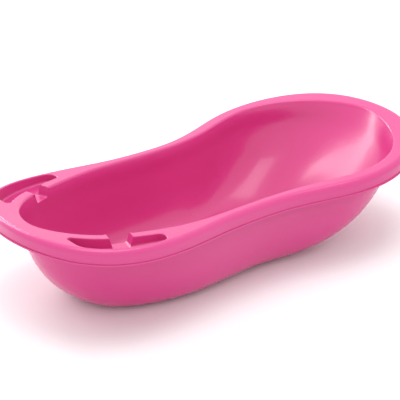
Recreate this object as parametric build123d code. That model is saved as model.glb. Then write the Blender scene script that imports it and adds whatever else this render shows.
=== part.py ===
from build123d import *
import math
import os

# Baby bathtub with a drain. Millimetres, +Z up, +X to the head end, the origin on the floor below the
# middle of the rim's box. The tub is one thin plastic moulding; its drain and plug are separate pieces.

# ---- tub: overall sizes ----
LENGTH = 1000.0           # rim, lip to lip
HEAD_WIDTH = 494.0        # widest part, at the head end
FOOT_WIDTH = 438.0        # foot lobe, with the soap dishes
WAIST_WIDTH = 392.0
RIM_LOW = 187.5           # rim height at the waist
FOOT_RISE = 28.0          # the rim rises to the foot end and to the head end
HEAD_RISE = 44.0
WALL = 2.5

# ---- rim ----
LIP_OUT = 2.0             # bead along the skirt's lower edge
LIP_HEIGHT = 3.0
SKIRT = 31.0              # height of the turned-down skirt
SHOULDER = 12.0           # radius between the rim's top and its skirt
LEDGE_FOOT = 45.0         # width of the flat rim, skirt to mouth, at the five places
LEDGE_DISH = 64.0
LEDGE_WAIST = 27.0
LEDGE_HEAD_SIDE = 36.0
LEDGE_HEAD = 40.0
MOUTH_ROUND = 5.0

# ---- bottom ----
RING_HEIGHT = 6.5         # the foot ring lifts the floor off the ground
RING_WALL = 3.0
RING_INSET = 3.0
RING_GAP = 20.0           # openings that let water out from under the tub
RING_GAP_ALONG = (-0.28, 0.57)   # where they are, from the base's middle, as shares of its half-length
BASE_FOOT_INSET = 175.0   # how far the floor's ends are inboard of the rim's ends
BASE_HEAD_INSET = 280.0
BASE_FOOT_WIDTH = 200.0
BASE_WAIST_WIDTH = 196.0
BASE_HEAD_WIDTH = 212.0

# ---- soap dishes ----
DISH_BAND = 14.0          # rim left outside the dish
DIVIDER = 22.0            # rim left between the dish and the mouth
DISH_DEPTH = 22.0
DISH_FOOT_GAP = 62.0      # from the rim's foot end to the dish
DISH_LENGTH = 170.0
DISH_CORNER = 8.0         # corners next to the mouth
DISH_HEAD_CORNER = 18.0   # corners next to the rim's edge
DISH_FOOT_CORNER = 32.0
DISH_FLOOR_ROUND = 5.0
DISH_EDGE_ROUND = 2.0     # along the dish's edge in the rim's top
NOTCH_FROM_FOOT = 162.0   # from the rim's foot end to the middle of the notch
NOTCH_TOP = 47.0          # the notch is a trapezoid, wider at the top
NOTCH_BOTTOM = 33.0

# ---- drain ----
DRAIN_X = -235.0          # on the centre line, towards the foot end
BORE = 32.0               # drain body's inside
NECK_WALL = 3.0
FLANGE_WIDTH = 9.0        # flange outside the neck
FLANGE_THICK = 1.8
NECK_CLEARANCE = 0.3      # neck in the floor's hole, and in the gasket
THREAD_CLEARANCE = 0.05   # neck in the lock nut
GROUND_CLEARANCE = 1.2    # under the neck and the nut
GASKET_THICK = 1.2
GASKET_WIDTH = 7.0
NUT_WIDTH = 9.0           # nut outside the neck, over its lugs
NUT_LUGS = 8
NUT_LUG = 3.0             # radius of each lug
CROSS_BAR = 3.0           # strainer cross in the neck
CROSS_HEIGHT = 1.8

# ---- plug ----
CAP_OVERLAP = 8.0         # cap outside the bore
PLUG_CAP_THICK = 3.0
PLUG_NECK_GAP = 1.5       # neck to the bore
CROSS_GAP = 0.8           # under the plug's neck, above the strainer cross
GROOVE_DEPTH = 2.0        # seal's groove in the neck
SEAL_FOOT = 1.5           # neck left below the seal
SEAL_HEIGHT = 3.6
SEAL_CLEARANCE = 0.1      # seal in the bore
BAIL_WIRE = 2.6
BAIL_INSET = 6.0          # centre line of the handle's half ring, inboard of the cap's edge
BAIL_LIFT = 0.5           # gap between the cap and the handle when it lies flat
EAR_THICK = 3.0
EAR_WIDTH = 5.2
EAR_GAP = 0.5             # between an ear and the inside of the handle's bend
PIN_CLEARANCE = 0.1

HALF_LENGTH = LENGTH / 2 - LIP_OUT
FLOOR_UNDER = RING_HEIGHT
FLOOR_TOP = RING_HEIGHT + WALL
TUBE = BORE + 2 * NECK_WALL
FLANGE = TUBE + 2 * FLANGE_WIDTH
NUT_ACROSS = TUBE + 2 * NUT_WIDTH
PLUG_CAP = BORE + 2 * CAP_OVERLAP
PLUG_NECK = BORE - 2 * PLUG_NECK_GAP
PLUG_NECK_LENGTH = FLOOR_TOP + FLANGE_THICK - GROUND_CLEARANCE - CROSS_HEIGHT - CROSS_GAP
GROOVE = PLUG_NECK - 2 * GROOVE_DEPTH
BAIL_RADIUS = PLUG_CAP / 2 - BAIL_INSET
BASE_FOOT = -HALF_LENGTH + BASE_FOOT_INSET
BASE_HEAD = HALF_LENGTH - BASE_HEAD_INSET
DISH_FOOT = -HALF_LENGTH + DISH_FOOT_GAP
NOTCH_X = -HALF_LENGTH + NOTCH_FROM_FOOT
EAR_AT = BAIL_RADIUS - BAIL_WIRE / 2 - EAR_GAP - EAR_THICK / 2
HINGE_Z = FLOOR_TOP + FLANGE_THICK + PLUG_CAP_THICK + BAIL_WIRE / 2 + BAIL_LIFT

# Half outlines from the foot end to the head end. Each row is a place along the outline, -1 to 1, the
# part whose half-width counts there, and the share of it.
RIM_SHAPE = [
    (-1.0, "foot", 0.0), (-0.974, "foot", 0.40), (-0.90, "foot", 0.725), (-0.758, "foot", 0.94),
    (-0.59, "foot", 1.0), (-0.422, "foot", 0.975), (-0.25, "waist", 1.026), (-0.074, "waist", 1.0),
    (0.094, "waist", 1.02), (0.264, "head", 0.89), (0.432, "head", 0.984), (0.60, "head", 0.992),
    (0.766, "head", 0.882), (0.90, "head", 0.657), (0.976, "head", 0.351), (1.0, "head", 0.0),
]
MOUTH_SHAPE = [
    (-1.0, "foot", 0.0), (-0.941, "foot", 0.45), (-0.821, "foot", 0.752), (-0.668, "foot", 0.928),
    (-0.508, "waist", 0.964), (-0.351, "waist", 1.01), (-0.187, "waist", 1.006), (-0.023, "waist", 1.0),
    (0.134, "waist", 1.024), (0.296, "head", 0.88), (0.456, "head", 0.976), (0.611, "head", 1.0),
    (0.766, "head", 0.89), (0.886, "head", 0.651), (0.963, "head", 0.349), (1.0, "head", 0.0),
]
BASE_SHAPE = [
    (-1.0, "foot", 0.0), (-0.967, "foot", 0.44), (-0.861, "foot", 0.75), (-0.71, "foot", 0.93),
    (-0.549, "foot", 0.99), (-0.387, "foot", 1.0), (-0.222, "foot", 0.99), (-0.057, "waist", 1.0),
    (0.101, "waist", 0.99), (0.266, "waist", 1.0), (0.428, "head", 0.962), (0.589, "head", 1.0),
    (0.75, "head", 0.972), (0.89, "head", 0.764), (0.971, "head", 0.415), (1.0, "head", 0.0),
]
# How square each place's wall is in side view: 1 is a straight slope, 2 a quarter circle, 4 nearly a box.
SQUARENESS = [1.7, 1.8, 2.1, 2.5, 2.9, 3.2, 3.1, 2.8, 2.5, 2.4, 2.2, 2.0, 1.8, 1.55, 1.4, 1.3]
LEVELS = [0.0, 0.012, 0.04, 0.09, 0.17, 0.28, 0.42, 0.60, 0.80, 1.0]   # shares of the wall's height
ROUND_STEPS = 4           # curves in each rounded edge
LIFTED = (Align.CENTER, Align.CENTER, Align.MIN)


def rim_height(x):
    """Height of the rim's top at a place along the tub."""
    share = x / (LENGTH / 2)
    return RIM_LOW + (HEAD_RISE * share ** 2 if x > 0 else FOOT_RISE * abs(share) ** 3)


def outline(shape, foot_end, head_end, widths):
    """Closed list of plan points, foot end first, from a half outline."""
    middle = (foot_end + head_end) / 2
    half = (head_end - foot_end) / 2
    side = [(middle + half * along, widths[part] / 2 * share) for along, part, share in shape]
    return side + [(x, -y) for x, y in side[-2:0:-1]]


def grown(points, amount):
    """The outline moved outward by an amount, or inward if it is negative."""
    result = []
    for i, (x, y) in enumerate(points):
        (x0, y0), (x1, y1) = points[i - 1], points[(i + 1) % len(points)]
        size = math.hypot(x1 - x0, y1 - y0)
        result.append((x - (y1 - y0) / size * amount, y + (x1 - x0) / size * amount))
    return result


def loop(points, z):
    return Wire([Spline(*[(x, y, z) for x, y in points], periodic=True)])


RIM = outline(RIM_SHAPE, -HALF_LENGTH, HALF_LENGTH, {
    "foot": FOOT_WIDTH - 2 * LIP_OUT, "waist": WAIST_WIDTH - 2 * LIP_OUT, "head": HEAD_WIDTH - 2 * LIP_OUT})
MOUTH = outline(MOUTH_SHAPE, -HALF_LENGTH + LEDGE_FOOT, HALF_LENGTH - LEDGE_HEAD, {
    "foot": FOOT_WIDTH - 2 * LIP_OUT - 2 * LEDGE_DISH,
    "waist": WAIST_WIDTH - 2 * LIP_OUT - 2 * LEDGE_WAIST,
    "head": HEAD_WIDTH - 2 * LIP_OUT - 2 * LEDGE_HEAD_SIDE})
BASE = outline(BASE_SHAPE, BASE_FOOT, BASE_HEAD, {
    "foot": BASE_FOOT_WIDTH, "waist": BASE_WAIST_WIDTH, "head": BASE_HEAD_WIDTH})
TOP = RIM_LOW + max(HEAD_RISE, FOOT_RISE)
DISH_RIM = rim_height(NOTCH_X)


def level_loop(points, heights):
    """A closed curve through plan points at their own heights."""
    return Wire([Spline(*[(x, y, z) for (x, y), z in zip(points, heights)], periodic=True)])


def below_rim(points, drop):
    """A closed curve that lies the given amount below the rim's top."""
    return level_loop(points, [rim_height(x) - drop for x, y in points])


def wall_loops(skin):
    """Loops from the floor's edge up to the mouth's rounding, on the basin's inside or its outside."""
    floor = FLOOR_TOP - skin
    exponents = SQUARENESS + SQUARENESS[-2:0:-1]
    tops = [rim_height(x) - MOUTH_ROUND for x, y in grown(MOUTH, skin)]
    loops = []
    for level in LEVELS:
        points = []
        for (bx, by), (mx, my), square in zip(BASE, MOUTH, exponents):
            out = (1 - (1 - level) ** square) ** (1 / square)
            points.append((bx + (mx - bx) * out, by + (my - by) * out))
        heights = [floor + level * (top - floor) for top in tops]
        loops.append(level_loop(grown(points, skin), heights))
    return loops


def mouth_loops(skin):
    """The rounded edge between the basin's wall and the flat rim."""
    radius = MOUTH_ROUND - skin
    loops = []
    for step in range(ROUND_STEPS + 1):
        turn = math.radians(90 * step / ROUND_STEPS)
        points = grown(MOUTH, MOUTH_ROUND - radius * math.cos(turn))
        loops.append(below_rim(points, MOUTH_ROUND - radius * math.sin(turn)))
    return loops


def shoulder_loops(skin):
    """The rounded edge between the flat rim and the skirt."""
    radius = SHOULDER - skin
    loops = []
    for step in range(ROUND_STEPS + 1):
        turn = math.radians(90 * step / ROUND_STEPS)
        points = grown(RIM, radius * math.sin(turn) - SHOULDER)
        loops.append(below_rim(points, SHOULDER - radius * math.cos(turn)))
    return loops


def tub_skin():
    """The moulding without its dishes, ring and drain hole, as one closed skin."""
    lofts = []
    floors = []
    for skin in (0, WALL):
        wall, mouth, shoulder = wall_loops(skin), mouth_loops(skin), shoulder_loops(skin)
        mouth[0] = wall[-1]
        lofts += [wall, mouth, [mouth[-1], shoulder[0]], shoulder]
        if skin:
            inner_edge = below_rim(grown(RIM, -WALL), SKIRT)
            lofts.append([shoulder[-1], inner_edge])
        else:
            bead_top = SKIRT - LIP_HEIGHT
            corners = [shoulder[-1], below_rim(RIM, bead_top), below_rim(grown(RIM, LIP_OUT), bead_top),
                       below_rim(grown(RIM, LIP_OUT), SKIRT)]
            lofts += [[a, b] for a, b in zip(corners, corners[1:])]
            outer_edge = corners[-1]
        floors.append(Face(wall[0]))
    lofts.append([outer_edge, inner_edge])
    faces = [face for loops in lofts for face in Shell.make_loft(loops).faces()]
    return Solid(Shell(faces + floors))


def side_of(points):
    """The +Y half of a closed outline, foot end first."""
    return points[:len(points) // 2 + 1]


def rim_cap(drop):
    """Everything from the rim's top surface, lowered by an amount, upwards."""
    reach = LENGTH * 0.6
    places = [reach * i / 12 for i in range(-12, 13)]
    surface = Spline(*[(x, -HEAD_WIDTH, rim_height(x) - drop) for x in places])
    (x0, y0, z0), (x1, y1, z1) = tuple(surface @ 0), tuple(surface @ 1)
    high = 3 * TOP
    frame = Polyline((x1, y1, z1), (x1, y1, high), (x0, y0, high), (x0, y0, z0))
    return extrude(Face(Wire([surface] + list(frame.edges()))), 2 * HEAD_WIDTH, dir=(0, 1, 0))


def prism(points, low, high):
    return extrude(Face(loop(points, low)), high - low, dir=(0, 0, 1))


def upright_edges(shape):
    return [e for e in shape.edges() if e.length > DISH_DEPTH / 2
            and math.hypot((e @ 0).X - (e @ 1).X, (e @ 0).Y - (e @ 1).Y) < 0.01]


def dish_pocket(skin):
    """A crescent pocket between the rim's edge and the mouth, on the +Y side."""
    floor = DISH_RIM - DISH_DEPTH - skin
    foot = DISH_FOOT - skin
    head = DISH_FOOT + DISH_LENGTH + skin
    outer = prism(grown(RIM, skin - DISH_BAND), floor, 2 * TOP)
    inner = prism(grown(MOUTH, DIVIDER - skin), floor - 1, 2 * TOP + 1)
    region = Pos(foot, 0, floor) * Box(head - foot, HEAD_WIDTH, 3 * TOP, align=(Align.MIN,) * 3)
    pocket = (outer & region) - inner
    ends = upright_edges(pocket)
    ends.sort(key=lambda e: (e @ 0).X)
    foot_end, head_end = (sorted(pair, key=lambda e: (e @ 0).Y) for pair in (ends[:2], ends[2:]))
    corners = ((foot_end[0], DISH_CORNER), (head_end[0], DISH_CORNER), (head_end[1], DISH_HEAD_CORNER),
               (foot_end[1], DISH_FOOT_CORNER))
    for corner, radius in corners:
        edge = min(pocket.edges(), key=lambda e: (e.center() - corner.center()).length)
        pocket = fillet(edge, radius + skin)
    return pocket


def dish_and_notch(skin):
    """The dish with its notch, rounded along the floor."""
    both = dish_pocket(skin) + notch_cut(skin)
    floor = min(e.center().Z for e in both.edges())
    return fillet([e for e in both.edges() if e.center().Z < floor + 0.01], DISH_FLOOR_ROUND + skin)


def notch_cut(skin):
    """A trapezoid channel through the divider, from the dish to the basin, on the +Y side."""
    mouth = side_of(MOUTH)
    near = min(range(len(mouth)), key=lambda i: abs(mouth[i][0] - NOTCH_X))
    (x0, y0), (x1, y1) = mouth[near - 1], mouth[near + 1]
    slope = (y1 - y0) / (x1 - x0)
    y = mouth[near][1] + slope * (NOTCH_X - mouth[near][0])
    low = DISH_RIM - DISH_DEPTH - skin
    rise = 2 * DISH_DEPTH
    bottom = NOTCH_BOTTOM / 2 + skin
    top = bottom + (NOTCH_TOP - NOTCH_BOTTOM) / 2 / DISH_DEPTH * rise
    corners = [(-bottom, 0, low), (bottom, 0, low), (top, 0, low + rise), (-top, 0, low + rise)]
    face = Face(Wire.make_polygon(corners))
    start = -DISH_FLOOR_ROUND - 2 * WALL   # the floor's end rounding falls inboard of the wall
    channel = extrude(face, DIVIDER + WALL - start, dir=(0, 1, 0))
    return Pos(NOTCH_X, y, 0) * Rot(0, 0, math.degrees(math.atan(slope))) * Pos(0, start, 0) * channel


def is_dish_edge(edge):
    """An edge of a dish in the rim's top. The notch's two short sides are not included and stay sharp."""
    places = [edge @ share for share in (0, 0.3, 0.5, 0.6, 1)]
    span = edge @ 1 - edge @ 0
    notch_side = abs(places[2].X - NOTCH_X) < NOTCH_TOP and abs(span.Y) > abs(span.X)
    on_rim = all(abs(p.Z - rim_height(p.X)) < 1 and abs(p.Y) > DIVIDER for p in places)
    return on_rim and not notch_side


def foot_ring():
    outer = grown(BASE, -RING_INSET)
    top = FLOOR_UNDER + WALL / 2
    ring = prism(outer, 0, top) - prism(grown(outer, -RING_WALL), -1, top + 1)
    middle = (BASE_FOOT + BASE_HEAD) / 2
    half = (BASE_HEAD - BASE_FOOT) / 2
    for along in RING_GAP_ALONG:
        ring -= Pos(middle + half * along, 0, 0) * Box(RING_GAP, HEAD_WIDTH, 2 * FLOOR_UNDER)
    return ring


def tub_shell():
    tub = tub_skin() + foot_ring()
    lowered = rim_cap(WALL / 2)
    basin = prism(grown(MOUTH, -WALL / 4), 0, 2 * TOP)   # to the middle of the wall at the dish's depth
    for side in (1, -1):
        outside = dish_and_notch(WALL) - lowered - basin
        inside = dish_and_notch(0)
        if side < 0:
            outside, inside = mirror(outside, about=Plane.XZ), mirror(inside, about=Plane.XZ)
        tub = tub + outside - inside
    tub = fillet([e for e in tub.edges() if is_dish_edge(e)], DISH_EDGE_ROUND)
    hole = Cylinder(TUBE / 2 + NECK_CLEARANCE, 4 * FLOOR_TOP)
    return tub - Pos(DRAIN_X, 0, FLOOR_TOP) * hole


def drain_body():
    """Flange on the floor, a neck through it, and a strainer cross near the neck's lower end."""
    bottom = GROUND_CLEARANCE
    flange = Pos(0, 0, FLOOR_TOP) * Cylinder(FLANGE / 2, FLANGE_THICK, align=LIFTED)
    flange = chamfer(flange.edges().sort_by(Axis.Z)[-1], FLANGE_THICK / 2)
    neck = Pos(0, 0, bottom) * Cylinder(TUBE / 2, FLOOR_TOP - bottom + FLANGE_THICK, align=LIFTED)
    body = flange + neck - Cylinder(BORE / 2, 4 * FLOOR_TOP)
    for turn in (0, 90):
        bar = Box(BORE + CROSS_BAR, CROSS_BAR, CROSS_HEIGHT, align=(Align.CENTER, Align.CENTER, Align.MIN))
        body += Pos(0, 0, bottom) * Rot(0, 0, turn) * bar
    return body


def drain_gasket():
    inner = TUBE / 2 + NECK_CLEARANCE
    ring = Cylinder(inner + GASKET_WIDTH, GASKET_THICK, align=LIFTED) - Cylinder(inner, 9 * GASKET_THICK)
    return Pos(0, 0, FLOOR_UNDER - GASKET_THICK) * ring


def lock_nut():
    """Thin nut under the floor, with lugs for the fingers."""
    height = FLOOR_UNDER - GASKET_THICK - GROUND_CLEARANCE
    inner = TUBE / 2 + THREAD_CLEARANCE
    nut = Cylinder(NUT_ACROSS / 2 - NUT_LUG, height, align=LIFTED)
    for turn in range(NUT_LUGS):
        lug = Pos(NUT_ACROSS / 2 - NUT_LUG, 0, 0) * Cylinder(NUT_LUG, height, align=LIFTED)
        nut += Rot(0, 0, 360 / NUT_LUGS * turn) * lug
    return Pos(0, 0, GROUND_CLEARANCE) * (nut - Cylinder(inner, 4 * height))


def drain_plug():
    """Cap over the flange, a neck with a groove for the seal, and two ears for the handle."""
    cap = Cylinder(PLUG_CAP / 2, PLUG_CAP_THICK, align=LIFTED)
    cap = fillet(cap.edges().sort_by(Axis.Z)[-1], PLUG_CAP_THICK / 3)
    neck = Pos(0, 0, -PLUG_NECK_LENGTH) * Cylinder(PLUG_NECK / 2, PLUG_NECK_LENGTH, align=LIFTED)
    groove_top = -PLUG_NECK_LENGTH + SEAL_FOOT + SEAL_HEIGHT
    neck -= Pos(0, 0, groove_top - SEAL_HEIGHT) * seal_ring(PLUG_NECK / 2 + 1, 0)
    plug = cap + neck
    for side in (1, -1):
        plug += Pos(0, side * EAR_AT, PLUG_CAP_THICK) * ear()
    return Pos(0, 0, FLOOR_TOP + FLANGE_THICK) * plug


def seal_ring(outer, bulge):
    """A ring as tall as the groove in the plug's neck, with a rounded outside if it has a bulge."""
    ring = Cylinder(outer, SEAL_HEIGHT, align=LIFTED) - Cylinder(GROOVE / 2, 4 * SEAL_HEIGHT)
    rims = [e for e in ring.edges().filter_by(GeomType.CIRCLE) if e.radius > GROOVE / 2 + 0.1]
    return fillet(rims, bulge) if bulge else ring


def plug_seal():
    low = FLOOR_TOP + FLANGE_THICK - PLUG_NECK_LENGTH + SEAL_FOOT
    return Pos(0, 0, low) * seal_ring(BORE / 2 - SEAL_CLEARANCE, SEAL_HEIGHT / 3)


def ear():
    """A small upright lug with a hole through it for the handle's end."""
    rise = BAIL_WIRE / 2 + BAIL_LIFT
    lug = Cylinder(EAR_WIDTH / 2, EAR_THICK, rotation=(90, 0, 0))
    foot = Box(EAR_WIDTH, EAR_THICK, rise, align=(Align.CENTER, Align.CENTER, Align.MAX))
    hole = Cylinder(BAIL_WIRE / 2 + PIN_CLEARANCE, 2 * EAR_THICK, rotation=(90, 0, 0))
    return Pos(0, 0, rise) * (lug + foot - hole)


def plug_handle():
    """A half ring of round rod that lies flat on the cap, with its two ends turned into the ears."""
    arc = ThreePointArc((0, -BAIL_RADIUS, 0), (BAIL_RADIUS, 0, 0), (0, BAIL_RADIUS, 0))
    bail = sweep(Plane(origin=(0, -BAIL_RADIUS, 0), z_dir=(1, 0, 0)) * Circle(BAIL_WIRE / 2), path=arc)
    reach = BAIL_RADIUS - EAR_AT + EAR_THICK / 2
    for side in (1, -1):
        pin = Cylinder(BAIL_WIRE / 2, reach, rotation=(90, 0, 0))
        bail += Pos(0, side * (BAIL_RADIUS - reach / 2), 0) * pin
        bail += Pos(0, side * BAIL_RADIUS, 0) * Sphere(BAIL_WIRE / 2)
    return Pos(0, 0, HINGE_Z) * bail


def main():
    os.makedirs("parts", exist_ok=True)
    export_step(tub_shell(), "parts/tub_shell.step")
    at_drain = Pos(DRAIN_X, 0, 0)
    for name, piece in (("drain_body", drain_body()), ("drain_gasket", drain_gasket()),
                        ("lock_nut", lock_nut()), ("drain_plug", drain_plug()), ("plug_seal", plug_seal()),
                        ("plug_handle", plug_handle())):
        export_step(at_drain * piece, f"parts/{name}.step")


if __name__ == "__main__":
    main()
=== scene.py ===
import bpy
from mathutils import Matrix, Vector

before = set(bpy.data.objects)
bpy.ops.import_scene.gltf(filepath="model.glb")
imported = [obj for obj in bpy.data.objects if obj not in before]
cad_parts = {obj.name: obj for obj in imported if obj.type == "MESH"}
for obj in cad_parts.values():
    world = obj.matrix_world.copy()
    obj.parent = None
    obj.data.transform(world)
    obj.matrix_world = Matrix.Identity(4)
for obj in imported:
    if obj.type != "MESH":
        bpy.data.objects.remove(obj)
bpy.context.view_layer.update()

# ---- sizes and places: metres, watts ----

LENS = 124.1                             # millimetres, on the sensor below
SENSOR = 36
CAMERA_PLACE = (-1.714, -2.047, 1.319)
CAMERA_TARGET = (-0.027, 0, 0.132)

FLOOR_SIZE = 30
FLOOR_DROP = 0.0005                      # keeps the floor from flickering with the foot ring
SKY_STRENGTH = 1.12

# name, place, target, width, height, power
PANELS = [
    ("window_wide", (-0.75, 2.3, 1.25), (0.10, 0, 0.10), 0.42, 2.4, 26),
    ("window_side", (0.45, 2.4, 1.15), (0.20, 0, 0.12), 0.30, 2.2, 14),
    ("top_soft", (0.1, -0.2, 2.6), (0, 0, 0), 2.2, 1.6, 26),
]

COAT_ROUGHNESS = 0.12
PLASTIC_IOR = 1.49
SCATTER = (0.01, 0.003, 0.004)
WAVE_SCALE = 7.0                         # broad, shallow waves, as moulding leaves in a thin wall
WAVE_DEPTH = 0.003


# ---- materials ----


def add_waves(made, strength):
    """A faint waviness in the surface."""
    nodes, links = made.node_tree.nodes, made.node_tree.links
    place = nodes.new("ShaderNodeTexCoord")
    wave = nodes.new("ShaderNodeTexNoise")
    wave.inputs["Scale"].default_value = WAVE_SCALE
    wave.inputs["Detail"].default_value = 1.0
    lift = nodes.new("ShaderNodeBump")
    lift.inputs["Strength"].default_value = strength
    lift.inputs["Distance"].default_value = WAVE_DEPTH
    links.new(place.outputs["Object"], wave.inputs["Vector"])
    links.new(wave.outputs["Fac"], lift.inputs["Height"])
    links.new(lift.outputs["Normal"], nodes["Principled BSDF"].inputs["Normal"])


def material(name, color, roughness, waves=0.0, coat=0.0, subsurface=0.0):
    """One plain surface, for the plastics, the rubber and the floor."""
    made = bpy.data.materials.new(name)
    made.use_nodes = True
    shader = made.node_tree.nodes["Principled BSDF"]
    shader.inputs["Base Color"].default_value = (*color, 1)
    shader.inputs["Roughness"].default_value = roughness
    shader.inputs["Coat Weight"].default_value = coat
    shader.inputs["Coat Roughness"].default_value = COAT_ROUGHNESS
    shader.inputs["IOR"].default_value = PLASTIC_IOR
    shader.inputs["Subsurface Weight"].default_value = subsurface
    shader.inputs["Subsurface Radius"].default_value = SCATTER
    if waves:
        add_waves(made, waves)
    return made


TUB = material("tub_plastic", (0.60, 0.040, 0.215), 0.27, waves=0.35, coat=0.25, subsurface=0.05)
PLUG = material("plug_plastic", (0.86, 0.86, 0.84), 0.30)
DRAIN = material("drain_plastic", (0.84, 0.84, 0.83), 0.34)
RUBBER = material("seal_rubber", (0.025, 0.025, 0.028), 0.55)
FINISH = {
    "tub_shell": TUB,
    "drain_body": DRAIN,
    "lock_nut": DRAIN,
    "drain_plug": PLUG,
    "plug_handle": PLUG,
    "plug_seal": RUBBER,
    "drain_gasket": RUBBER,
}
for name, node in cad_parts.items():
    node.data.materials.clear()
    node.data.materials.append(FINISH[name])

# ---- floor and light ----


def aim(obj, place, target):
    """Puts a lamp or the camera at a place, facing a target."""
    obj.location = place
    obj.rotation_euler = (Vector(target) - Vector(place)).to_track_quat("-Z", "Y").to_euler()


def panel(name, place, target, width, height, power):
    """A soft box that faces a point."""
    data = bpy.data.lights.new(name, "AREA")
    data.shape = "RECTANGLE"
    data.size = width
    data.size_y = height
    data.energy = power
    lamp = bpy.data.objects.new(name, data)
    bpy.context.collection.objects.link(lamp)
    aim(lamp, place, target)


bpy.ops.mesh.primitive_plane_add(size=FLOOR_SIZE, location=(0, 0, -FLOOR_DROP))
floor = bpy.context.object
floor.name = "floor"
floor.data.materials.append(material("floor_white", (0.90, 0.90, 0.90), 0.7))

world = bpy.data.worlds.new("studio")
world.use_nodes = True
background = world.node_tree.nodes["Background"]
background.inputs["Color"].default_value = (1, 1, 1, 1)
background.inputs["Strength"].default_value = SKY_STRENGTH
bpy.context.scene.world = world

for facts in PANELS:
    panel(*facts)

# ---- camera ----

camera_data = bpy.data.cameras.new("camera")
camera_data.sensor_width = SENSOR
camera_data.lens = LENS
camera = bpy.data.objects.new("camera", camera_data)
bpy.context.collection.objects.link(camera)
aim(camera, CAMERA_PLACE, CAMERA_TARGET)
bpy.context.scene.camera = camera
bpy.context.scene.view_settings.view_transform = "Standard"
